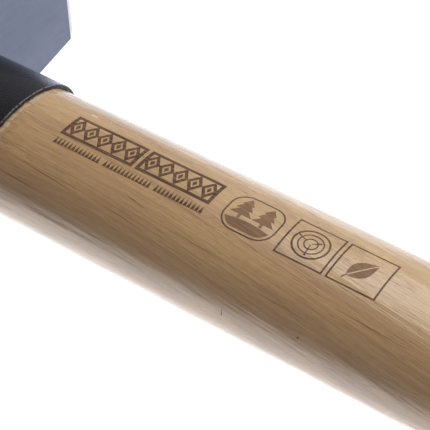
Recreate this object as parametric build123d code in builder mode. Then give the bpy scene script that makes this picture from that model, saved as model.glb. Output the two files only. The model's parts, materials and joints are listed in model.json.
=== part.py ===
from build123d import *

import math
import os

# Splitting maul lying on one cheek: a forged steel head on an oval wooden handle, with an overstrike
# sleeve below the head and wedges in the eye. Millimetres; +X runs along the handle to the grip,
# +Y to the hammer poll, +Z up. The origin is on the cheek that it lies on, under the eye's centre.

# Driving dimensions
handle_length = 900.0
head_height = 52.0          # crown to underside, along the handle
head_thickness = 62.0       # cheek to cheek over the eye
poll_reach = 75.5           # handle's centre line to the poll face
bit_reach = 118.0           # handle's centre line to the cutting edge

poll_half_width = 25.6      # half of the head's thickness at the poll face
poll_taper_start = 44.0     # where the cheeks begin to narrow, from the centre line towards the poll
wedge_start = 22.0          # where the wedge begins, from the centre line towards the bit
wedge_middle = (64.0, 16.4)  # a point of the wedge's side: reach from the centre line, half thickness
stock_tip = (126.0, 3.2)    # end of the forged blade, which grinding the edge takes away
poll_blend_radius = 60.0
blade_hollow = 0.8          # slope of the wedge's side at its tip, over the mean slope behind it
flare_start = 28.0          # where the blade begins to widen, from the centre line towards the bit
edge_length = 78.0          # cutting edge, corner to corner
edge_radius = 220.0         # bow of the cutting edge
bit_bevel_angle = 27.0      # each side of the ground edge
edge_half_thickness = 0.6
cheek_chamfer = 2.0
poll_chamfer = (2.0, 3.5)   # on the poll face, along the sides
eye_chamfer = 1.0

eye_at_underside = (22.5, 13.2)   # half sizes of the eye's oval, along Y and Z
eye_at_crown = (24.2, 15.2)
tongue_proud = 2.5          # wood left standing above the crown

sleeve_length = 40.0
sleeve_wall = 1.55
sleeve_edge_round = 0.4

neck_half_sizes = (24.9, 16.2)    # handle's half sizes along Y and Z, just below the head
waist_half_sizes = (18.4, 13.2)
knob_half_sizes = (22.6, 15.4)
depth_taper = (110.0, 490.0)      # where the handle narrows along Y, from the sleeve's end
thickness_taper = (40.0, 330.0)   # where it narrows along Z
knob_swell = (680.0, 770.0)
knob_round = 9.0
section_spacing = 35.0

wood_wedge_depth = 40.0
wood_wedge_half_thickness = (3.2, 0.7)   # at the crown, at its tip
steel_wedge_depth = 24.0
steel_wedge_half_width = 9.5
steel_wedge_half_thickness = (1.7, 0.35)
steel_wedge_offset = 11.0                # each side of the eye's centre

os.makedirs("parts", exist_ok=True)

# Places that follow from them
underside = head_height / 2
crown = -underside
crown_end = crown - tongue_proud
handle_end = crown_end + handle_length
sleeve_end = underside + sleeve_length
knob_start = sleeve_end + knob_swell[1]
axis_z = head_thickness / 2


def across(x):
    """The plane across the handle at x: sketch x is +Y, sketch y is +Z, from the centre line."""
    return Plane(origin=(x, 0, axis_z), x_dir=(0, 1, 0), z_dir=(1, 0, 0))


def ease(distance, start, end):
    """0 before start, 1 after end, and a smooth change between them."""
    t = min(max((distance - start) / (end - start), 0.0), 1.0)
    return t**3 * (10 - 15 * t + 6 * t**2)


def handle_half_sizes(x):
    """The handle's half sizes along Y and Z at x."""
    along = x - sleeve_end
    tapers = (depth_taper, thickness_taper)
    swell = ease(along, *knob_swell)
    return [
        neck + (waist - neck) * ease(along, *taper) + (knob - waist) * swell
        for neck, waist, knob, taper in zip(neck_half_sizes, waist_half_sizes, knob_half_sizes, tapers)
    ]


def eye_half_sizes(x):
    """The eye's half sizes at x; it widens from the underside to the crown."""
    share = (underside - x) / head_height
    return [low + (high - low) * share for low, high in zip(eye_at_underside, eye_at_crown)]


def oval_bar(start, end, half_sizes, count, straight=False):
    """A loft through ovals from start to end; half_sizes gives each one's size."""
    with BuildPart() as bar:
        for i in range(count + 1):
            x = start + (end - start) * i / count
            with BuildSketch(across(x)):
                Ellipse(*half_sizes(x))
        loft(ruled=straight)
    return bar.part


def tapered_plate(depth, half_thickness, half_width, crosses_at=None):
    """A wedge driven in from the crown end, along the oval, or across it at the given y."""
    thick, thin = half_thickness
    faces = (0, -1, 0) if crosses_at is None else (0, 0, 1)
    with BuildPart() as plate:
        with BuildSketch(Plane(origin=(crown_end, crosses_at or 0, axis_z), x_dir=(1, 0, 0), z_dir=faces)):
            Polygon((0, thick), (depth, thin), (depth, -thin), (0, -thick), align=None)
        extrude(amount=half_width, both=True)
    return plate.part


tongue = oval_bar(crown_end, underside, eye_half_sizes, 1, straight=True)
shaft = oval_bar(
    underside, knob_start, handle_half_sizes, round((knob_start - underside) / section_spacing)
)

# Head: the outline seen on a cheek, cut to its thickness, then ground to a bowed edge.
half_height = head_height / 2
half_thickness = head_thickness / 2
stock_reach, stock_half = stock_tip

with BuildPart() as head:
    with BuildSketch(Plane(origin=(0, 0, head_thickness), x_dir=(0, 1, 0), z_dir=(0, 0, -1))):
        with BuildLine():
            Polyline(
                (-flare_start, half_height), (poll_reach, half_height),
                (poll_reach, -half_height), (-flare_start, -half_height),
            )
            TangentArc((-flare_start, -half_height), (-stock_reach, -edge_length / 2), tangent=(-1, 0))
            Line((-stock_reach, -edge_length / 2), (-stock_reach, edge_length / 2))
            TangentArc((-flare_start, half_height), (-stock_reach, edge_length / 2), tangent=(-1, 0))
        make_face()
    extrude(amount=head_thickness)

    with BuildSketch(across(-edge_length)) as thickness:
        with BuildLine() as side:
            middle_reach, middle_half = wedge_middle
            chord_slope = (middle_half - stock_half) / (stock_reach - middle_reach)
            Line((poll_reach, poll_half_width), (poll_taper_start, half_thickness))
            Line((poll_taper_start, half_thickness), (-wedge_start, half_thickness))
            Spline(
                (-wedge_start, half_thickness), (-middle_reach, middle_half), (-stock_reach, stock_half),
                tangents=((-1, 0), (-1, -blade_hollow * chord_slope)),
            )
            mirror(side.edges(), about=Plane.XZ)
            Line((-stock_reach, stock_half), (-stock_reach, -stock_half))
            Line((poll_reach, -poll_half_width), (poll_reach, poll_half_width))
        make_face()
        at_taper = (poll_taper_start - 1, poll_taper_start + 1)
        fillet(thickness.vertices().filter_by_position(Axis.X, *at_taper), poll_blend_radius)
    extrude(amount=2 * edge_length, mode=Mode.INTERSECT)

    flanks = head.faces().filter_by(lambda face: abs(face.normal_at().X) > 0.9)
    rims = flanks.edges().filter_by(lambda edge: abs(edge.tangent_at(0.5).Z) < 0.9)
    chamfer(rims, cheek_chamfer)

    bevel_run = (head_thickness - edge_half_thickness) / math.tan(math.radians(bit_bevel_angle))
    bow_centre = Plane(origin=(0, edge_radius - bit_reach, axis_z), x_dir=(0, -1, 0), z_dir=(1, 0, 0))
    with BuildSketch(bow_centre):
        Polygon(
            (0, head_thickness), (edge_radius - bevel_run, head_thickness),
            (edge_radius, edge_half_thickness), (edge_radius, -edge_half_thickness),
            (edge_radius - bevel_run, -head_thickness), (0, -head_thickness),
            align=None,
        )
    revolve(axis=Axis(bow_centre.origin, (0, 0, 1)), mode=Mode.INTERSECT)

    poll_face = head.faces().sort_by(Axis.Y)[-1]
    chamfer(poll_face.edges(), *poll_chamfer, reference=poll_face)
    add(tongue, mode=Mode.SUBTRACT)
    crown_face = head.faces().filter_by(Axis.X).sort_by(Axis.X)[0]
    chamfer(crown_face.inner_wires()[0].edges(), eye_chamfer)
head.part.label = "head"
export_step(head.part, "parts/head.step")

# Handle: an oval shaft with a rounded knob at the grip, and a tongue that fills the eye.
kerf_filler = tapered_plate(wood_wedge_depth, wood_wedge_half_thickness, head_thickness)
steel_wedges = {
    f"steel_wedge_{place}": tapered_plate(
        steel_wedge_depth, steel_wedge_half_thickness, steel_wedge_half_width, crosses_at=offset
    )
    for place, offset in (("bit_side", -steel_wedge_offset), ("poll_side", steel_wedge_offset))
}

with BuildPart() as handle:
    with BuildSketch(across(knob_start)):
        Ellipse(*knob_half_sizes)
    extrude(amount=handle_end - knob_start)
    fillet(handle.faces().sort_by(Axis.X)[-1].edges(), knob_round)
    add([shaft, tongue])
    add([kerf_filler, *steel_wedges.values()], mode=Mode.SUBTRACT)
handle.part.label = "handle"
export_step(handle.part, "parts/handle.step")

# Wedges: one of hardwood along the oval, and two of steel driven across it.
with BuildPart() as wood_wedge:
    add(tongue)
    add(kerf_filler, mode=Mode.INTERSECT)
    add(list(steel_wedges.values()), mode=Mode.SUBTRACT)
wood_wedge.part.label = "wood_wedge"
export_step(wood_wedge.part, "parts/wood_wedge.step")

for name, plate in steel_wedges.items():
    with BuildPart() as steel_wedge:
        add(plate)
    steel_wedge.part.label = name
    export_step(steel_wedge.part, f"parts/{name}.step")

# Overstrike sleeve: a tight tube on the handle, butted against the head's underside.
with BuildPart() as sleeve:
    with BuildSketch(across(underside)):
        Ellipse(*(half_size + sleeve_wall for half_size in handle_half_sizes(underside)))
    with BuildSketch(across(sleeve_end)):
        Ellipse(*(half_size + sleeve_wall for half_size in handle_half_sizes(sleeve_end)))
    loft(ruled=True)
    fillet(sleeve.faces().sort_by(Axis.X)[-1].edges(), sleeve_edge_round)
    add(shaft, mode=Mode.SUBTRACT)
sleeve.part.label = "overstrike_sleeve"
export_step(sleeve.part, "parts/overstrike_sleeve.step")
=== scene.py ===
import math
import random

import bmesh
import bpy
from mathutils import Matrix, Vector
from mathutils.geometry import tessellate_polygon
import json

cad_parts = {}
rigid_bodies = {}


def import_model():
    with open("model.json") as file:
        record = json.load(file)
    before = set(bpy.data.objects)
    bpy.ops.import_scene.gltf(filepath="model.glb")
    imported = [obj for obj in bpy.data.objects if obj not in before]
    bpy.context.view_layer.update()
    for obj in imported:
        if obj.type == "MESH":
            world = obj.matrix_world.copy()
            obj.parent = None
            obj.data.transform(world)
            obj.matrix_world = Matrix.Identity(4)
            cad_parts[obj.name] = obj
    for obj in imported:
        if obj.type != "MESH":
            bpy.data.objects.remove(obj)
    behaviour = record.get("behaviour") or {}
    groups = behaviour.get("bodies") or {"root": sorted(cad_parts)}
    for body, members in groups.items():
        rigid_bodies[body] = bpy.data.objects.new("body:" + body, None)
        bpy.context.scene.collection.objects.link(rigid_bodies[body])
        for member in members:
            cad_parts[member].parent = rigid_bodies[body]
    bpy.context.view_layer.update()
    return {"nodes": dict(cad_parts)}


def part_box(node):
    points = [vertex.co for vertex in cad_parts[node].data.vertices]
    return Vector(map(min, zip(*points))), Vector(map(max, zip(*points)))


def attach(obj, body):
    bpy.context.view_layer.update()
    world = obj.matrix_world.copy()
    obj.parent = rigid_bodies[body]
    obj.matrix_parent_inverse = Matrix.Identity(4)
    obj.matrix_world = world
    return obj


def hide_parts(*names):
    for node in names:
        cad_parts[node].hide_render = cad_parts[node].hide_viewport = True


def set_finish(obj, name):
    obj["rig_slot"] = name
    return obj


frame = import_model()

# A splitting maul that lies on one cheek: +X runs along the handle to the grip, +Y to the hammer poll,
# and +Z up. Shapes and bumps are in metres; places in textures and on the marks are in millimetres.
MM = 0.001
scene = bpy.context.scene
scene.view_settings.view_transform = "Standard"
random.seed(11)

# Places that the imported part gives.
crown_end, handle_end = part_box("handle")[0].x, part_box("handle")[1].x
underside, sleeve_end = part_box("overstrike_sleeve")[0].x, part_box("overstrike_sleeve")[1].x
axis_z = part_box("head")[1].z / 2

# Sizes that the part has: the handle's oval (half sizes along Y and Z), where it narrows and swells
# (from the sleeve's end), the eye's oval at the underside and at the crown, the sleeve and the wedges.
NECK, WAIST, KNOB = (24.9 * MM, 16.2 * MM), (18.4 * MM, 13.2 * MM), (22.6 * MM, 15.4 * MM)
TAPERS = ((110 * MM, 490 * MM), (40 * MM, 330 * MM))
SWELL = (680 * MM, 770 * MM)
KNOB_ROUND = 9 * MM
EYE_LOW, EYE_HIGH = (22.5 * MM, 13.2 * MM), (24.2 * MM, 15.2 * MM)
SLEEVE_WALL = 1.55 * MM
CHEEK_CHAMFER = 2 * MM
WOOD_WEDGE_DEPTH, WOOD_WEDGE_HALF_THICKNESS = 40 * MM, (3.2 * MM, 0.7 * MM)
STEEL_WEDGE_DEPTH, STEEL_WEDGE_HALF_THICKNESS = 24 * MM, (1.7 * MM, 0.35 * MM)
STEEL_WEDGE_HALF_WIDTH, STEEL_WEDGE_OFFSET = 9.5 * MM, 11 * MM

knob_start = sleeve_end + SWELL[1]
dome_start = handle_end - KNOB_ROUND


# ---------------------------------------------------------------- camera
def aim_camera(place, azimuth, elevation, roll, lens):
    """A camera at place that looks back along the given direction, in degrees."""
    camera = bpy.data.objects.new("camera", bpy.data.cameras.new("camera"))
    scene.collection.objects.link(camera)
    az, el, rl = (math.radians(v) for v in (azimuth, elevation, roll))
    back = Vector((math.sin(az) * math.cos(el), -math.cos(az) * math.cos(el), math.sin(el)))
    level = Vector((math.cos(az), math.sin(az), 0))
    rise = back.cross(level)
    right = level * math.cos(rl) + rise * math.sin(rl)
    up = rise * math.cos(rl) - level * math.sin(rl)
    camera.matrix_world = Matrix.Translation(place) @ Matrix((right, up, back)).transposed().to_4x4()
    camera.data.lens = lens
    camera.data.sensor_width = 36
    camera.data.clip_start = 0.01
    scene.camera = camera


camera_place = Vector((sleeve_end + 225.05 * MM, -226.27 * MM, axis_z + 304.22 * MM))
aim_camera(camera_place, azimuth=34.1256, elevation=46.9148, roll=-0.3849, lens=117.184)


# ---------------------------------------------------------------- node graphs
class Graph:
    """A material's node tree, with short calls for the nodes that this scene uses."""

    def __init__(self, name):
        self.material = bpy.data.materials.new(name)
        self.material.use_nodes = True
        self.tree = self.material.node_tree
        self.shader = self.tree.nodes["Principled BSDF"]

    def node(self, kind, inputs, out=0, **settings):
        made = self.tree.nodes.new(kind)
        for name, value in settings.items():
            setattr(made, name, value)
        for key, value in inputs.items():
            self.put(made.inputs[key], value)
        return made.outputs[out]

    def put(self, socket, value):
        if isinstance(value, bpy.types.NodeSocket):
            self.tree.links.new(value, socket)
        elif isinstance(value, tuple) and socket.type == "RGBA":
            socket.default_value = (*value, 1)
        else:
            socket.default_value = value

    def set(self, **values):
        """Sets the shader's own inputs; an underscore in a name stands for a space."""
        for name, value in values.items():
            self.put(self.shader.inputs[name.replace("_", " ")], value)

    def math(self, operation, a, b=0.0, c=0.0):
        return self.node("ShaderNodeMath", {0: a, 1: b, 2: c}, operation=operation)

    def plus(self, a, b):
        return self.math("ADD", a, b)

    def times(self, a, b):
        return self.math("MULTIPLY", a, b)

    def scaled_plus(self, a, scale, b):
        """a times scale, plus b."""
        return self.math("MULTIPLY_ADD", a, scale, b)

    def vector(self, operation, a, b):
        return self.node("ShaderNodeVectorMath", {0: a, 1: b}, operation=operation)

    def place(self, origin=(0, 0, 0)):
        """Object coordinates in millimetres, from origin."""
        co = self.node("ShaderNodeTexCoord", {}, out="Object")
        return self.vector("MULTIPLY", self.vector("SUBTRACT", co, origin), (1000, 1000, 1000))

    def split(self, vector):
        made = self.tree.nodes.new("ShaderNodeSeparateXYZ")
        self.put(made.inputs[0], vector)
        return made.outputs

    def noise(self, vector, stretch, detail=2, roughness=0.5):
        """Noise from 0 to 1, whose features are about 1 / stretch millimetres long along each axis."""
        at = self.vector("MULTIPLY", vector, stretch)
        values = {"Vector": at, "Scale": 1.0, "Detail": detail, "Roughness": roughness}
        return self.node("ShaderNodeTexNoise", values)

    def remap(self, value, low, high, to_low=0.0, to_high=1.0, smooth=False):
        kind = "SMOOTHSTEP" if smooth else "LINEAR"
        inputs = {0: value, 1: low, 2: high, 3: to_low, 4: to_high}
        return self.node("ShaderNodeMapRange", inputs, interpolation_type=kind)

    def ramp(self, value, *stops):
        """A grey that changes along the stops, each one a place and a level."""
        made = self.tree.nodes.new("ShaderNodeValToRGB")
        self.put(made.inputs[0], value)
        points = made.color_ramp.elements
        while len(points) < len(stops):
            points.new(0.5)
        for point, (at, level) in zip(points, stops):
            point.position = at
            point.color = (level, level, level, 1)
        return made.outputs[0]

    def mix(self, share, a, b):
        made = self.tree.nodes.new("ShaderNodeMix")
        made.data_type = "RGBA"
        for socket, value in zip((made.inputs[0], made.inputs[6], made.inputs[7]), (share, a, b)):
            self.put(socket, value)
        return made.outputs[2]

    def bump(self, height, distance, strength=1.0):
        return self.node("ShaderNodeBump", {"Height": height, "Distance": distance, "Strength": strength})


# ---------------------------------------------------------------- hickory
EARLY_WOOD_DARK, EARLY_WOOD_PALE = (0.505, 0.304, 0.130), (0.600, 0.372, 0.164)
LATE_WOOD = (0.318, 0.150, 0.054)
FIBRE, SPECK, STRAND = (0.315, 0.174, 0.072), (0.330, 0.182, 0.074), (0.318, 0.180, 0.080)
# Heartwood tones, which also paint the shade on the bit-side (-Y) flank.
HEARTWOOD_AND_SHADE_PALE, HEARTWOOD_AND_SHADE_DARK = (0.360, 0.220, 0.124), (0.240, 0.142, 0.088)
# A pale tone that is partly sapwood and partly a painted sheen on the poll side.
SAPWOOD_AND_SHEEN = (0.720, 0.510, 0.285)
STRIPE, PORE, HAIR = (0.335, 0.172, 0.080), (0.255, 0.118, 0.040), (0.190, 0.102, 0.048)
RAW_WOOD, WATER_STAIN = (0.660, 0.520, 0.370), (0.315, 0.150, 0.045)
WEAVE_LENGTH, WEAVE_REACH = 75, 9.0
RINGS_PER_MM = 0.36


def woven(g, surface, from_sleeve):
    """Where each point lies in the grain, which runs along the handle and weaves slowly to one side."""
    wave = g.math("COSINE", g.times(from_sleeve, 1 / WEAVE_LENGTH))
    weave = g.times(g.math("SUBTRACT", 1.0, wave), WEAVE_REACH)
    lean = g.node("ShaderNodeCombineXYZ", {1: weave, 2: g.times(weave, 0.4)})
    return g.vector("ADD", surface, lean)


def late_wood(g, grain, sway, patch):
    """Growth rings, which lean a little across the handle and end in a line of late wood, where it is 1."""
    x, y, z = g.split(grain)
    flutter = g.noise(grain, (0.045, 0.42, 0.42))
    depth = g.plus(g.times(y, 0.86), g.times(z, 0.50))
    depth = g.scaled_plus(x, 0.020, depth)
    depth = g.plus(g.scaled_plus(sway, 13, depth), g.times(flutter, 1.6))
    year = g.math("FRACT", g.times(depth, RINGS_PER_MM))
    late = g.ramp(year, (0.0, 0.0), (0.40, 0.06), (0.80, 0.55), (0.93, 1.0), (1.0, 0.05))
    return g.times(late, g.remap(patch, 0.36, 0.60, 0.25, 1.0))


def beside_sleeve(g, tone, surface, from_sleeve):
    """A strip of paler raw wood with a ragged edge, and small stains, against the sleeve's end."""
    ragged = g.noise(surface, (0.55, 0.42, 0.42), detail=5, roughness=0.75)
    ragged = g.scaled_plus(ragged, -4.2, from_sleeve)
    strip = g.times(g.remap(ragged, -0.3, -1.5, smooth=True), 0.66)
    tone = g.mix(strip, tone, RAW_WOOD)
    spots = g.remap(g.noise(surface, (0.30, 0.55, 0.55), detail=3), 0.54, 0.62)
    stain = g.times(g.times(spots, g.remap(from_sleeve, 10, 3, smooth=True)), 0.50)
    return g.mix(stain, tone, WATER_STAIN)


def hickory(name, stained=None):
    """Clear-lacquered hickory; stained is a burn's or a stain's colour, and how far it covers the wood."""
    g = Graph(name)
    surface = g.place((0, 0, axis_z))
    x, y = g.split(surface)[:2]
    from_sleeve = g.math("SUBTRACT", x, sleeve_end / MM)
    grain = woven(g, surface, from_sleeve)
    sway = g.noise(grain, (0.011, 0.040, 0.040))
    patch = g.noise(grain, (0.020, 0.16, 0.16))

    broad = g.noise(grain, (0.012, 0.11, 0.11), detail=3)
    tone = g.mix(g.remap(broad, 0.35, 0.65), EARLY_WOOD_DARK, EARLY_WOOD_PALE)
    tone = g.mix(g.times(late_wood(g, grain, sway, patch), 0.66), tone, LATE_WOOD)
    fibre = g.noise(grain, (0.07, 2.6, 2.6), detail=4, roughness=0.62)
    tone = g.mix(g.remap(fibre, 0.42, 0.66, 0.0, 0.62), tone, FIBRE)
    speck = g.noise(grain, (0.42, 3.3, 3.3))
    tone = g.mix(g.remap(speck, 0.50, 0.68, 0.0, 0.42), tone, SPECK)
    strand = g.noise(grain, (0.030, 0.95, 0.95), detail=3, roughness=0.55)
    tone = g.mix(g.remap(strand, 0.38, 0.66, 0.0, 0.30), tone, STRAND)

    # Darker heartwood towards the bit, which is also painted shade on that flank, paler sapwood towards the
    # poll, which is also a painted sheen on the upper side, and a broad stripe between them.
    # Darker towards -Y: partly heartwood, partly painted shade on the flank away from the key light.
    heartwood_and_shade = g.remap(g.scaled_plus(sway, 10, y), -3.0, -20.0, smooth=True)
    streaks = g.remap(g.noise(grain, (0.006, 0.55, 0.55), detail=3), 0.42, 0.62)
    heartwood_and_shade_tone = g.mix(streaks, HEARTWOOD_AND_SHADE_PALE, HEARTWOOD_AND_SHADE_DARK)
    tone = g.mix(g.times(heartwood_and_shade, 0.72), tone, heartwood_and_shade_tone)
    # Paler towards +Y and further from the sleeve: partly sapwood, partly a painted sheen.
    poll_side = g.remap(g.split(grain)[1], -2, 9, smooth=True)
    sapwood_and_sheen = g.times(g.remap(from_sleeve, 30, 85, smooth=True), poll_side)
    tone = g.mix(g.times(sapwood_and_sheen, 0.25), tone, SAPWOOD_AND_SHEEN)
    from_stripe = g.math("ABSOLUTE", g.plus(g.scaled_plus(from_sleeve, 0.10, y), -2.5))
    stripe = g.remap(from_stripe, 4.5, 0.8, smooth=True)
    stripe = g.times(stripe, g.remap(from_sleeve, 78, 118, smooth=True))
    tone = g.mix(g.times(stripe, 0.28), tone, STRIPE)

    # Open pores in short dashes, and hairlines that wander along the grain.
    pore = g.remap(g.noise(grain, (0.22, 2.7, 2.7)), 0.59, 0.68)
    pore = g.times(pore, g.remap(patch, 0.44, 0.58, 0.22, 1.0))
    tone = g.mix(g.times(pore, 0.56), tone, PORE)
    wander = g.noise(grain, (0.009, 0.30, 0.30), detail=1)
    hair = g.remap(g.math("ABSOLUTE", g.math("SUBTRACT", wander, 0.5)), 0.0, 0.006, 1.0, 0.0)
    tone = g.mix(g.times(hair, 0.34), tone, HAIR)
    tone = beside_sleeve(g, tone, surface, from_sleeve)

    gloss = 1.0
    if stained is not None:
        colour, cover = stained
        uneven = g.noise(grain, (0.12, 2.2, 2.2), detail=3, roughness=0.6)
        tone = g.mix(g.remap(uneven, 0.40, 0.66, cover, cover * 0.72), tone, colour)
        gloss = 0.12

    ripple = g.noise(grain, (0.028, 0.42, 0.42), detail=3, roughness=0.55)
    relief = g.plus(g.times(fibre, 0.5), g.times(pore, -0.8))
    coat_relief = g.plus(ripple, g.times(relief, 0.07))
    g.set(
        Base_Color=tone, Roughness=g.remap(fibre, 0.3, 0.7, 0.46, 0.60), Specular_IOR_Level=0.25,
        Normal=g.bump(relief, 0.00006),
        Coat_Weight=gloss, Coat_Roughness=0.17, Coat_IOR=1.52, Coat_Normal=g.bump(coat_relief, 0.00029),
    )
    return g.material


# ---------------------------------------------------------------- steel and leather
STEEL_DARK, STEEL_PALE, STEEL_GROUND = (0.166, 0.188, 0.270), (0.197, 0.218, 0.302), (0.60, 0.64, 0.72)
STEEL_LINE, STEEL_SMUDGE = (0.105, 0.116, 0.150), (0.125, 0.135, 0.170)
STEEL_MOTTLE = (0.128, 0.145, 0.205)
LEATHER_DARK, LEATHER_PALE = (0.0040, 0.0036, 0.0056), (0.0125, 0.0112, 0.0152)
# The rim tone is partly wear and partly a painted highlight on the rounded rim.
LEATHER_DUSTY, LEATHER_RIM_WEAR_AND_HIGHLIGHT = (0.0150, 0.0138, 0.0180), (0.170, 0.155, 0.150)


def brushed_steel(name, brightness=1.0, roughness=0.36):
    """Brushed steel with smudges, and brighter where a bevel or a chamfer is ground."""
    def lit(colour):
        return tuple(channel * brightness for channel in colour)

    g = Graph(name)
    p = g.place()
    normal = g.split(g.node("ShaderNodeNewGeometry", {}, out="Normal"))
    facing = [g.math("ABSOLUTE", part) for part in normal]
    along_y = g.noise(p, (2.1, 0.022, 2.1), detail=4, roughness=0.72)
    along_z = g.noise(p, (2.1, 2.1, 0.03), detail=4, roughness=0.72)
    lines = g.mix(g.remap(facing[1], 0.75, 0.9), along_y, along_z)
    cloud = g.noise(p, (0.05, 0.05, 0.05), detail=3)
    shade = g.mix(g.remap(cloud, 0.35, 0.65), lit(STEEL_DARK), lit(STEEL_PALE))
    shade = g.mix(g.remap(lines, 0.36, 0.62, 0.28, 0.0), shade, STEEL_LINE)
    smudge = g.noise(p, (0.09, 0.035, 0.09), detail=3, roughness=0.6)
    shade = g.mix(g.remap(smudge, 0.56, 0.70, 0.0, 0.35), shade, STEEL_SMUDGE)
    mottle = g.noise(p, (0.85, 0.45, 0.85), detail=4, roughness=0.65)
    shade = g.mix(g.remap(mottle, 0.38, 0.66, 0.0, 0.26), shade, STEEL_MOTTLE)
    squarest = g.math("MAXIMUM", g.math("MAXIMUM", facing[0], facing[1]), facing[2])
    shade = g.mix(g.remap(squarest, 0.93, 0.90), shade, lit(STEEL_GROUND))
    rough = g.remap(lines, 0.3, 0.7, roughness - 0.06, roughness + 0.08)
    g.set(Base_Color=shade, Metallic=1.0, Roughness=rough, Normal=g.bump(lines, 0.00004))
    return g.material


def leather(name):
    """Black pebbled leather with a soft sheen; the rim at the sleeve's end is pale, partly wear and partly a
    painted highlight.
    """
    g = Graph(name)
    p = g.place((0, 0, axis_z))
    pebble = g.node("ShaderNodeTexVoronoi", {"Vector": p, "Scale": 1.15, "Randomness": 1.0}, feature="F1")
    fine = g.noise(p, (2.2, 2.2, 2.2), detail=4, roughness=0.6)
    slow = g.noise(p, (0.12, 0.12, 0.12))
    height = g.scaled_plus(fine, 0.6, g.times(pebble, -0.5))
    tone = g.mix(g.remap(fine, 0.3, 0.7), LEATHER_DARK, LEATHER_PALE)
    tone = g.mix(g.remap(slow, 0.3, 0.7, 0.0, 0.4), tone, LEATHER_DUSTY)
    behind_rim = g.math("SUBTRACT", sleeve_end / MM, g.split(p)[0])
    patchy = g.remap(g.noise(p, (1.3, 1.3, 1.3)), 0.44, 0.56, 0.10, 1.0)
    # A broken pale line on the rounded rim: partly wear, partly a painted highlight.
    rim_wear_and_highlight = g.times(g.remap(behind_rim, 0.75, 0.25, smooth=True), patchy)
    rim_wear_and_highlight = g.times(rim_wear_and_highlight, g.remap(behind_rim, 0.03, 0.16))
    tone = g.mix(rim_wear_and_highlight, tone, LEATHER_RIM_WEAR_AND_HIGHLIGHT)
    g.set(
        Base_Color=tone, Roughness=g.remap(fine, 0.3, 0.7, 0.26, 0.40), Specular_IOR_Level=0.12,
        Specular_Tint=(0.84, 0.86, 1.0), Normal=g.bump(height, 0.00018, 0.8),
        Coat_Weight=0.6, Coat_Roughness=0.14, Coat_IOR=1.20, Coat_Normal=g.bump(height, 0.00010, 0.8),
    )
    return g.material


# ---------------------------------------------------------------- shapes
def ease(distance, start, end):
    """0 before start, 1 after end, and a smooth change between them."""
    t = min(max((distance - start) / (end - start), 0.0), 1.0)
    return t**3 * (10 - 15 * t + 6 * t**2)


def shaft_sizes(x):
    """The handle's half sizes at x."""
    along = x - sleeve_end
    swell = ease(along, *SWELL)
    return [
        neck + (waist - neck) * ease(along, *taper) + (knob - waist) * swell
        for neck, waist, knob, taper in zip(NECK, WAIST, KNOB, TAPERS)
    ]


def tongue_sizes(x):
    """The half sizes, at x, of the tongue that fills the eye; the origin is half way along the eye."""
    share = (underside - x) / (2 * underside)
    return [low + (high - low) * share for low, high in zip(EYE_LOW, EYE_HIGH)]


def evenly(start, end, steps):
    """Places from one step after start to end."""
    return [start + (end - start) * step / steps for step in range(1, steps + 1)]


def oval(x, half_sizes, count, inset=0.0):
    """Points of an oval across the handle at x, drawn in by inset along its normals."""
    a, b = half_sizes
    points = []
    for i in range(count):
        turn = 2 * math.pi * i / count
        y, z = a * math.cos(turn), b * math.sin(turn)
        out = Vector((0, y / a**2, z / b**2)).normalized()
        points.append(Vector((x, y, z + axis_z)) - out * inset)
    return points


def link(data, name):
    """An object with that mesh or light, in the scene."""
    piece = bpy.data.objects.new(name, data)
    scene.collection.objects.link(piece)
    return piece


def skin(name, rings, close_ends=True):
    """A mesh through rings of points; each ring has as many."""
    count = len(rings[0])
    points = [p for ring in rings for p in ring]
    faces = []
    for r in range(len(rings) - 1):
        low, high = r * count, (r + 1) * count
        faces += [(low + i, low + (i + 1) % count, high + (i + 1) % count, high + i) for i in range(count)]
    if close_ends:
        faces.append(tuple(reversed(range(count))))
        faces.append(tuple(range((len(rings) - 1) * count, len(rings) * count)))
    mesh = bpy.data.meshes.new(name)
    mesh.from_pydata(points, [], faces)
    mesh.update()
    return mesh


def smooth(mesh, angle=35):
    """Shades the mesh smooth, apart from edges sharper than angle, in degrees."""
    mesh.shade_smooth()
    mesh.set_sharp_from_angle(angle=math.radians(angle))


def bake(piece):
    """Applies the piece's modifiers."""
    bpy.context.view_layer.update()
    depsgraph = bpy.context.evaluated_depsgraph_get()
    mesh = bpy.data.meshes.new_from_object(piece.evaluated_get(depsgraph))
    piece.modifiers.clear()
    piece.data = mesh


# ---------------------------------------------------------------- handle
HANDLE_POINTS = 144
TONGUE_ROUND = 0.7 * MM
CUTTER_PROUD = 1 * MM
WHOLE_KERF_HALF_WIDTH = 60 * MM    # wider than the tongue


def handle_rings():
    """Ovals from the tongue's rounded end, through the eye and along the shaft, to the knob's domed end."""
    rings = [oval(crown_end, tongue_sizes(crown_end), HANDLE_POINTS, TONGUE_ROUND)]
    for bend in evenly(0, math.pi / 2, 4):
        at = crown_end + TONGUE_ROUND * (1 - math.cos(bend))
        rings.append(oval(at, tongue_sizes(at), HANDLE_POINTS, TONGUE_ROUND * (1 - math.sin(bend))))
    for at in evenly(crown_end + TONGUE_ROUND, underside, 12):
        rings.append(oval(at, tongue_sizes(at), HANDLE_POINTS))
    for at in (underside, *evenly(underside, knob_start, 240)):
        rings.append(oval(at, shaft_sizes(at), HANDLE_POINTS))
    for at in evenly(knob_start, dome_start, 6):
        rings.append(oval(at, KNOB, HANDLE_POINTS))
    for bend in evenly(0, math.pi / 2, 12):
        at = dome_start + KNOB_ROUND * math.sin(bend)
        rings.append(oval(at, KNOB, HANDLE_POINTS, KNOB_ROUND * (1 - math.cos(bend))))
    return rings


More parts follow.
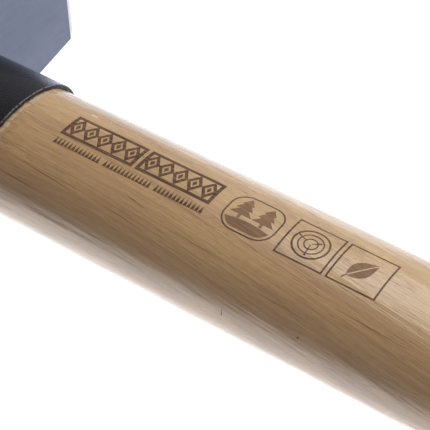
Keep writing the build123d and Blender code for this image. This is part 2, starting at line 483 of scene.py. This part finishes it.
def kerf(depth, half_thickness, half_width, crosses_at=None):
    """A cutter for the slot of a wedge that is driven in along the oval, or across it at the given y."""
    thick, thin = half_thickness
    rings = []
    for x, half in ((-CUTTER_PROUD, thick), (0, thick), (depth, thin)):
        corners = ((-half_width, -half), (half_width, -half), (half_width, half), (-half_width, half))
        if crosses_at is not None:
            corners = [(crosses_at + across, wide) for wide, across in corners]
        rings.append([Vector((crown_end + x, y, z + axis_z)) for y, z in corners])
    return link(skin("kerf", rings), "kerf")


handle = link(skin("hickory_handle", handle_rings()), "hickory_handle")
cutters = [kerf(WOOD_WEDGE_DEPTH, WOOD_WEDGE_HALF_THICKNESS, WHOLE_KERF_HALF_WIDTH)]
for offset in (-STEEL_WEDGE_OFFSET, STEEL_WEDGE_OFFSET):
    cutters.append(kerf(STEEL_WEDGE_DEPTH, STEEL_WEDGE_HALF_THICKNESS, STEEL_WEDGE_HALF_WIDTH, offset))
for cutter in cutters:
    cut = handle.modifiers.new("kerf", "BOOLEAN")
    cut.object, cut.operation, cut.solver = cutter, "DIFFERENCE", "EXACT"
bake(handle)
for cutter in cutters:
    bpy.data.objects.remove(cutter)
smooth(handle.data)
handle.data.materials.append(hickory("lacquered_hickory"))
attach(handle, "root")
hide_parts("handle")
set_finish(handle, "lacquered_hickory")

# ---------------------------------------------------------------- marks burnt into the handle
# Drawn flat in millimetres: x runs along the handle from the sleeve's end, and arc round it from its
# upper line towards +Y.
LIFT = 0.02           # how far a mark stands proud of the wood
LAYER = 0.004         # between neighbouring shapes of a mark, so that none are in one plane
SUNK = 0.04           # how deep a mark reaches into the wood
STRIP = 0.8           # width of the strips that bend a mark round the handle
SMALLEST_FACE = 1e-7


def wrapped(x, arc, out):
    """The point of the handle's surface at that place, out millimetres off it."""
    at = sleeve_end + x * MM
    a, b = shaft_sizes(at)
    turn, flatness = arc * MM / a, 1 - (b / a) ** 2
    for _ in range(8):
        turn = arc * MM / a + flatness * turn**3 / 6
    y, z = a * math.sin(turn), b * math.cos(turn)
    normal = Vector((0, y / a**2, z / b**2)).normalized()
    return Vector((at, y, z + axis_z)) + normal * out * MM


def offset_loop(points, distance):
    """A closed outline moved outwards (it runs anticlockwise) with mitred corners."""
    moved = []
    for i, here in enumerate(points):
        before, after = Vector(points[i - 1]), Vector(points[(i + 1) % len(points)])
        here = Vector(here)
        a, b = (here - before).normalized(), (after - here).normalized()
        na, nb = Vector((a.y, -a.x)), Vector((b.y, -b.x))
        out = (na + nb) / (1 + na.dot(nb))
        moved.append(tuple(here + out * distance))
    return moved


def ring(points, width):
    """The line of that width that follows a closed outline."""
    return [offset_loop(points, width / 2), offset_loop(points, -width / 2)]


def line(points, start_width, end_width=None):
    """A line through points, whose width changes evenly from end to end."""
    end_width = start_width if end_width is None else end_width
    left, right = [], []
    for i, here in enumerate(points):
        along = Vector(points[min(i + 1, len(points) - 1)]) - Vector(points[max(i - 1, 0)])
        side = Vector((-along.y, along.x)).normalized()
        half = (start_width + (end_width - start_width) * i / (len(points) - 1)) / 2
        left.append(tuple(Vector(here) + side * half))
        right.append(tuple(Vector(here) - side * half))
    return [right + left[::-1]]


def rectangle(x0, y0, x1, y1):
    return [(x0, y0), (x1, y0), (x1, y1), (x0, y1)]


def lozenge(x, y, half_length, half_height):
    return [(x - half_length, y), (x, y - half_height), (x + half_length, y), (x, y + half_height)]


def circle(x, y, radius, count=48):
    turns = [2 * math.pi * i / count for i in range(count)]
    return [(x + radius * math.cos(t), y + radius * math.sin(t)) for t in turns]


def rounded_box(x0, y0, x1, y1, radius, count=8):
    """A box with rounded corners, each of count steps."""
    points = []
    corners = (
        (x1 - radius, y1 - radius, 0), (x0 + radius, y1 - radius, 90),
        (x0 + radius, y0 + radius, 180), (x1 - radius, y0 + radius, 270),
    )
    for x, y, start in corners:
        for i in range(count + 1):
            turn = math.radians(start + 90 * i / count)
            points.append((x + radius * math.cos(turn), y + radius * math.sin(turn)))
    return points


def fir(x, foot, height, width):
    """A fir tree of three tiers and a trunk, as one outline."""
    tier = height / 3.6
    right = [(0.45, foot), (0.45, foot + tier * 0.6)]
    for i, share in enumerate((1.0, 0.78, 0.56)):
        base = foot + tier * (0.6 + i * 0.92)
        right += [(width / 2 * share, base), (width / 2 * share * 0.42, base + tier * 0.92)]
    right[-1] = (0.0, foot + height)
    return [[(x + px, py) for px, py in right] + [(x - px, py) for px, py in reversed(right[:-1])]]


def flat_shape(bm, loops, lift):
    """Adds an outline, and any holes in it, as triangles that face up."""
    flat = [Vector((*point, 0)) for loop in loops for point in loop]
    made = [bm.verts.new((p.x, p.y, lift)) for p in flat]
    for triangle in tessellate_polygon([[Vector((*point, 0)) for point in loop] for loop in loops]):
        a, b, c = (flat[i] for i in triangle)
        area = (b - a).cross(c - a).z
        if area < 0:
            triangle = triangle[::-1]
        if abs(area) > SMALLEST_FACE:
            bm.faces.new([made[i] for i in triangle])


def mark(name, shapes, material):
    """Thin closed pieces that follow the handle. A shape is its outline and any holes in it."""
    bm = bmesh.new()
    for number, loops in enumerate(shapes):
        flat_shape(bm, loops, LIFT + LAYER * (number % 3))
    low, high = min(v.co.y for v in bm.verts), max(v.co.y for v in bm.verts)
    for i in range(1, int((high - low) / STRIP) + 1):
        geometry = bm.verts[:] + bm.edges[:] + bm.faces[:]
        cut_at = (0, low + i * STRIP, 0)
        bmesh.ops.bisect_plane(bm, geom=geometry, plane_co=cut_at, plane_no=(0, 1, 0), dist=1e-5)
    bmesh.ops.delete(bm, geom=[v for v in bm.verts if not v.link_faces], context="VERTS")
    sunk = bmesh.ops.extrude_face_region(bm, geom=bm.faces[:])["geom"]
    for v in [item for item in sunk if isinstance(item, bmesh.types.BMVert)]:
        v.co.z = -SUNK
    bmesh.ops.reverse_faces(bm, faces=[item for item in sunk if isinstance(item, bmesh.types.BMFace)])
    for v in bm.verts:
        v.co = wrapped(*v.co)
    bmesh.ops.recalc_face_normals(bm, faces=bm.faces[:])
    mesh = bpy.data.meshes.new(name)
    bm.to_mesh(mesh)
    bm.free()
    piece = link(mesh, name)
    smooth(mesh, 40)
    mesh.materials.append(material)
    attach(piece, "root")
    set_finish(piece, "lacquered_hickory")


BURNT_LINE = hickory("burnt_line", stained=((0.060, 0.019, 0.006), 0.97))
BURNT_FILL = hickory("burnt_fill", stained=((0.165, 0.078, 0.036), 0.93))

# A band of nested lozenges, in two groups, over a row of small teeth.
BAND_LOW, BAND_HIGH = -0.3, 8.5
BAND_GROUPS = ((17.2, 42.2), (44.5, 69.5))
LOZENGES = 5
TEETH, TEETH_TO_A_GAP = 41, 14
TOOTH_START, TOOTH_PITCH, TOOTH_WIDTH, TOOTH_LOW, TOOTH_HIGH = 16.9, 1.3, 1.2, -4.9, -2.2
band_middle = (BAND_LOW + BAND_HIGH) / 2
band = []
for start, end in BAND_GROUPS:
    band.append(ring(rectangle(start, BAND_LOW, end, BAND_HIGH), 1.15))
    for i in range(LOZENGES):
        x = start + (end - start) * (i + 0.5) / LOZENGES
        band += [ring(lozenge(x, band_middle, 2.0, 3.2), 1.0), [lozenge(x, band_middle, 0.7, 1.3)]]
mark("burnt_lozenge_band", band, BURNT_LINE)
teeth = []
for i in range(TEETH):
    if i % TEETH_TO_A_GAP != TEETH_TO_A_GAP - 1:
        x = TOOTH_START + TOOTH_PITCH * i
        teeth.append([[(x, TOOTH_LOW), (x + TOOTH_WIDTH, TOOTH_LOW), (x + TOOTH_WIDTH / 2, TOOTH_HIGH)]])
mark("burnt_tooth_row", teeth, BURNT_LINE)

# A rounded emblem: two fir trees on a hill that fills the emblem's lower end.
EMBLEM = (74.9, -5.1, 91.7, 9.4)
EMBLEM_ROUND = 5.2
HILL_INSET, HILL_TOP = 1.0, -1.6
CREST_LOW, CREST_RISE, CREST_START_INSET = -1.35, 0.9, 1.2
left, low, right, high = EMBLEM
emblem_x = (left + right) / 2
inside = rounded_box(
    left + HILL_INSET, low + HILL_INSET, right - HILL_INSET, high - HILL_INSET, EMBLEM_ROUND - HILL_INSET
)
hill = sorted((p for p in inside if p[1] < HILL_TOP), key=lambda p: math.atan2(p[1] - 2, p[0] - emblem_x))
crest_start, crest_end = right - CREST_START_INSET, left + HILL_INSET
crest_x = (crest_start, *evenly(crest_start, crest_end, 12))
crest = [(x, CREST_LOW + CREST_RISE * math.sin(math.pi * i / 12)) for i, x in enumerate(crest_x)]
mark("burnt_emblem_line", [ring(rounded_box(*EMBLEM, EMBLEM_ROUND), 0.5)], BURNT_LINE)
mark("burnt_emblem_fill", [[hill + crest]] + [fir(x, -0.5, 8.9, 7.0) for x in (79.6, 86.9)], BURNT_FILL)

# Two square frames: a sawn log's end with three splits, and a leaf.
FRAME_SIDE, FRAME_LOW = 15, -5.05
LOG_FRAME, LEAF_FRAME = 94.56, 111.15
squares = [rectangle(x, FRAME_LOW, x + FRAME_SIDE, FRAME_LOW + FRAME_SIDE) for x in (LOG_FRAME, LEAF_FRAME)]
mark("burnt_square_frames", [ring(square, 0.55) for square in squares], BURNT_LINE)
log_centre = Vector((LOG_FRAME + FRAME_SIDE / 2, FRAME_LOW + FRAME_SIDE / 2))
log_end = [
    ring(circle(*log_centre, 5.4), 0.6),
    ring(circle(*log_centre, 3.7), 0.42),
    ring(circle(*log_centre, 2.0, 32), 0.42),
]
for turn, start, end in ((35, 0.2, 3.1), (160, 1.9, 5.2), (275, 0.2, 4.6)):
    out = Vector((math.cos(math.radians(turn)), math.sin(math.radians(turn))))
    log_end.append(line([log_centre + out * reach for reach in (end, (start + end) / 2, start)], 0.62, 0.25))
mark("burnt_log_end", log_end, BURNT_LINE)

LEAF_CENTRE = Vector((LEAF_FRAME + FRAME_SIDE / 2, 2.3))
LEAF_TURN = Matrix.Rotation(math.radians(52), 2)
LEAF_HALF_LENGTH, LEAF_HALF_WIDTH, LEAF_TIP_HALF_WIDTH = 5, 2.75, 0.12
RIB_HALF_WIDTH = 0.2


def on_leaf(u, v):
    """The place on the handle of a point of the leaf: u along it, v across it."""
    return tuple(LEAF_CENTRE + LEAF_TURN @ Vector((u, v)))


def leaf_half(side):
    """The half of the leaf on that side of its bare rib, 1 or -1."""
    points = []
    for i in range(17):
        share = i / 16
        bulge = LEAF_HALF_WIDTH * math.sin(math.pi * share**0.85)
        points.append(on_leaf(LEAF_HALF_LENGTH * (2 * share - 1), side * (bulge + LEAF_TIP_HALF_WIDTH)))
    points += [on_leaf(u, side * RIB_HALF_WIDTH) for u in (4.6, 2, -2, -4.6)]
    return [points if side < 0 else points[::-1]]


stalk = line([on_leaf(-6.6, -0.3), on_leaf(-5.6, 0), on_leaf(-4.6, 0)], 0.5)
mark("burnt_leaf", [leaf_half(-1), leaf_half(1), stalk], BURNT_FILL)


# ---------------------------------------------------------------- checks, flecks and chips
def wavy(start, end, sway, count=14):
    """Points from start to end that wander a little, as the grain does."""
    (x0, y0), (x1, y1) = start, end
    points = []
    for i in range(count + 1):
        wander = random.uniform(-sway, sway)
        points.append((x0 + (x1 - x0) * i / count, y0 + (y1 - y0) * i / count + wander))
    return points


def tapered(points, width):
    """A line that is widest at its middle and comes to a point at both ends."""
    middle = len(points) // 2
    first, second = line(points[:middle + 1], 0.05, width)[0], line(points[middle:], width, 0.05)[0]
    half = len(first) // 2
    return [first[:half] + second[:len(second) // 2][1:] + second[len(second) // 2:][:-1] + first[half:]]


CHECKS = (
    ((11.5, -14.7), (34.0, -16.1), 0.34),
    ((46.0, -9.4), (55.0, -11.2), 0.30),
    ((40.5, -15.6), (58.0, -17.0), 0.22),
    ((67.0, -13.4), (84.0, -14.6), 0.26),
    ((3.5, -19.6), (22.0, -20.4), 0.24),
    ((118.0, -12.2), (140.0, -13.4), 0.28),
    ((96.0, -17.9), (112.0, -18.8), 0.22),
    ((150.0, -6.0), (176.0, -7.4), 0.26),
    ((205.0, 4.0), (236.0, 2.6), 0.28),
    ((300.0, -3.0), (338.0, -4.6), 0.30),
    ((420.0, 5.5), (452.0, 4.2), 0.26),
    ((560.0, -6.5), (604.0, -5.2), 0.30),
)
checks = [tapered(wavy(start, end, 0.10), width) for start, end, width in CHECKS]
mark("grain_checks", checks, hickory("grain_check", stained=((0.165, 0.078, 0.032), 0.72)))
flecks = [[circle(113.0, -23.6, 0.28, 10)], line([(90.0, -27.4), (89.5, -26.1)], 0.30, 0.12)]
mark("dark_flecks", flecks, BURNT_LINE)
chips = [
    [[(18.0, 12.5), (19.4, 12.1), (21.0, 12.3), (20.2, 12.7), (18.9, 12.9)]],
    [[(24.6, 13.1), (25.8, 12.9), (25.2, 13.3)]],
]
mark("lacquer_chips", chips, hickory("lacquer_chip", stained=((0.78, 0.74, 0.70), 0.85)))

# ---------------------------------------------------------------- sleeve
SLEEVE_POINTS = 192
RIM_ROUND = 0.45 * MM
SLEEVE_BITE = 0.10 * MM    # how far its hidden inside reaches into the wood
# The cut inner edge of its end: how far back from the end, the wall left there, and how uneven it is.
CUT_EDGE = (
    (0.02 * MM, SLEEVE_WALL * 0.5, 0.05 * MM),
    (0.12 * MM, SLEEVE_WALL * 0.22, 0.14 * MM),
    (0.35 * MM, -SLEEVE_BITE, 0.14 * MM),
)


def sleeve_oval(x, wall, uneven=0.0):
    """Points round the handle at x, off it by wall, each moved along it at random by up to uneven."""
    a, b = shaft_sizes(x)
    points = oval(x, (a + wall, b + wall), SLEEVE_POINTS)
    if uneven:
        points = [p + Vector((random.uniform(-1, 1) * uneven, 0, 0)) for p in points]
    return points


def sleeve_rings():
    """A tube with a rounded rim and a cut inner edge at its end."""
    rim_start = sleeve_end - RIM_ROUND
    rings = [sleeve_oval(at, SLEEVE_WALL) for at in (underside, *evenly(underside, rim_start, 50))]
    for bend in evenly(0, math.pi / 2, 5):
        at = rim_start + RIM_ROUND * math.sin(bend)
        rings.append(sleeve_oval(at, SLEEVE_WALL - RIM_ROUND * (1 - math.cos(bend))))
    rings += [sleeve_oval(sleeve_end - back, wall, uneven) for back, wall, uneven in CUT_EDGE]
    rings.append(sleeve_oval(underside, -SLEEVE_BITE))
    return rings


sleeve = link(skin("leather_sleeve", sleeve_rings(), close_ends=False), "leather_sleeve")
smooth(sleeve.data, 60)
sleeve.data.materials.append(leather("sleeve_leather"))
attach(sleeve, "root")
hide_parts("overstrike_sleeve")
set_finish(sleeve, "sleeve_leather")

# ---------------------------------------------------------------- head and wedges
# They keep the part's own meshes.
head_steel = brushed_steel("head_steel")
wedge_wood = hickory("wedge_wood", stained=((0.260, 0.135, 0.060), 0.60))
wedge_steel = brushed_steel("wedge_steel", brightness=0.7, roughness=0.5)
for node, material in (
    ("head", head_steel),
    ("wood_wedge", wedge_wood),
    ("steel_wedge_bit_side", wedge_steel),
    ("steel_wedge_poll_side", wedge_steel),
):
    piece = frame["nodes"][node]
    piece.data.materials.clear()
    piece.data.materials.append(material)

# ---------------------------------------------------------------- floor
# The maul lies on a cheek's rim and on its knob, so the floor leans to meet both.
FLOOR_HALF_SIDE = 20
FLOOR_GAP = 0.02 * MM


def floor_white():
    g = Graph("floor_white")
    g.set(
        Base_Color=(0.20, 0.20, 0.20), Roughness=0.9, Specular_IOR_Level=0.1,
        Emission_Color=(1, 1, 1), Emission_Strength=0.97,
    )
    return g.material


floor_outline = rectangle(-FLOOR_HALF_SIDE, -FLOOR_HALF_SIDE, FLOOR_HALF_SIDE, FLOOR_HALF_SIDE)
floor_mesh = bpy.data.meshes.new("floor")
floor_mesh.from_pydata([(x, y, 0) for x, y in floor_outline], [], [(0, 1, 2, 3)])
floor = link(floor_mesh, "floor")
rest_x = underside - CHEEK_CHAMFER
lean = math.atan2(axis_z - KNOB[1], dome_start - rest_x)
floor.matrix_world = Matrix.Translation((rest_x, 0, -FLOOR_GAP)) @ Matrix.Rotation(-lean, 4, "Y")
floor.data.materials.append(floor_white())

# ---------------------------------------------------------------- light
WORLD_SEEN, WORLD_LIGHT = (0.97, 0.97, 0.97, 1), (0.97, 0.985, 1.0, 1)
WORLD_FRONT, WORLD_BACK = (-0.55, 0.182), (0.85, 0.66)    # direction along Y, and the light's strength


def studio_world():
    """Pale to look at; its light is stronger from the back, +Y, than from the front."""
    world = bpy.data.worlds.new("studio")
    scene.world = world
    world.use_nodes = True
    tree = world.node_tree
    light = tree.nodes["Background"]
    light.inputs[0].default_value = WORLD_LIGHT
    direction = tree.nodes.new("ShaderNodeTexCoord")
    parts = tree.nodes.new("ShaderNodeSeparateXYZ")
    strength = tree.nodes.new("ShaderNodeMapRange")
    strength.interpolation_type = "SMOOTHSTEP"
    for i, value in enumerate((WORLD_FRONT[0], WORLD_BACK[0], WORLD_FRONT[1], WORLD_BACK[1]), start=1):
        strength.inputs[i].default_value = value
    seen = tree.nodes.new("ShaderNodeBackground")
    seen.inputs[0].default_value = WORLD_SEEN
    path = tree.nodes.new("ShaderNodeLightPath")
    choice = tree.nodes.new("ShaderNodeMixShader")
    tree.links.new(direction.outputs["Generated"], parts.inputs[0])
    tree.links.new(parts.outputs[1], strength.inputs[0])
    tree.links.new(strength.outputs[0], light.inputs[1])
    tree.links.new(path.outputs["Is Camera Ray"], choice.inputs[0])
    tree.links.new(light.outputs[0], choice.inputs[1])
    tree.links.new(seen.outputs[0], choice.inputs[2])
    tree.links.new(choice.outputs[0], tree.nodes["World Output"].inputs[0])


def area_light(name, size, radiance, tint=(1, 1, 1)):
    """A rectangular light of that size and brightness, which the camera doesn't see."""
    lamp = bpy.data.lights.new(name, "AREA")
    lamp.shape = "RECTANGLE"
    lamp.size, lamp.size_y = size
    lamp.color = tint
    lamp.energy = radiance * math.pi * size[0] * size[1]
    piece = link(lamp, name)
    piece.visible_camera = False
    return piece


def collection_of(name, pieces):
    """A collection that only chooses what a card lights."""
    collection = bpy.data.collections.new(name)
    for piece in pieces:
        collection.objects.link(piece)
    return collection


studio_world()
KEY_PLACE, KEY_TARGET = Vector((0.49, 0.88, 1.22)), Vector((0.15, 0, 0.03))
key = area_light("key", (1.8, 1.2), 2.92)
key.location = KEY_PLACE
key.rotation_euler = (KEY_TARGET - KEY_PLACE).to_track_quat("-Z", "Y").to_euler()

# Low cards that only the gloss shows, along both sides of the handle. An edge of a card is (y, z).
CARD_MIDDLE_X, CARD_LENGTH = 0.35, 1.9
FRONT_NEAR, FRONT_FAR, FRONT_TOP = (0.03, 0.0012), (-0.60, 0.148), (-0.62, 0.330)
BACK_FAR = (0.34, 0.0040)
lacquered = collection_of("lacquered", [p for p in scene.objects if p.get("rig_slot") == "lacquered_hickory"])
leathery = collection_of("leathery", [sleeve])


def card(name, first, second, radiance, tint, lit):
    """A card along the handle, from its first edge forward to its second. It shines up, on one collection."""
    across = Vector((0, second[0] - first[0], second[1] - first[1]))
    middle = Vector((CARD_MIDDLE_X, (first[0] + second[0]) / 2, (first[1] + second[1]) / 2))
    lamp = area_light(name, (CARD_LENGTH, across.length), radiance, tint)
    lamp.visible_diffuse = False
    along, across = Vector((1, 0, 0)), across.normalized()
    axes = Matrix((along, across, along.cross(across))).transposed()
    lamp.matrix_world = Matrix.Translation(middle) @ axes.to_4x4()
    lamp.light_linking.receiver_collection = lit


card("front_card", FRONT_NEAR, FRONT_FAR, 2.90, (0.88, 0.945, 1.0), lacquered)
card("front_card_upper", FRONT_FAR, FRONT_TOP, 0.75, (0.80, 0.92, 1.0), lacquered)
card("back_card", BACK_FAR, FRONT_NEAR, 0.62, (0.40, 0.72, 1.0), lacquered)
card("sleeve_card", BACK_FAR, FRONT_NEAR, 1.10, (0.50, 0.54, 1.0), leathery)
